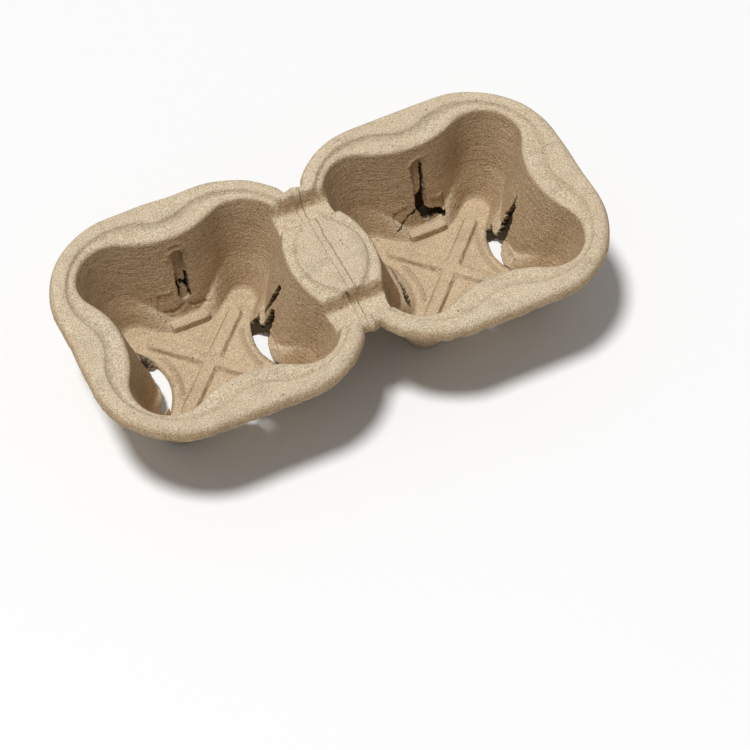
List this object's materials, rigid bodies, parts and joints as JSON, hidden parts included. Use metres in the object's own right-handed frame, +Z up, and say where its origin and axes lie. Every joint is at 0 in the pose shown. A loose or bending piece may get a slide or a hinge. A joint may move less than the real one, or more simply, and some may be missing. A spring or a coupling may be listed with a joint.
{
  "type": "cup carrier",
  "caption": "Open tray of moulded pulp with lobed cup pockets hung from one rounded rim, a scored bridge between them and T-shaped openings in the pocket sides.",
  "frame": {"origin": "centre of the footprint, on the plane the carrier stands on", "axes": "+X along the row of two cups, +Y across it, +Z up"},
  "size_m": [0.2212, 0.1132, 0.044],
  "materials": {
    "pulp": "matt, fibrous, uncoated"
  },
  "bodies": {
    "root": {"cup_carrier": "pulp"}
  },
  "joints": []
}
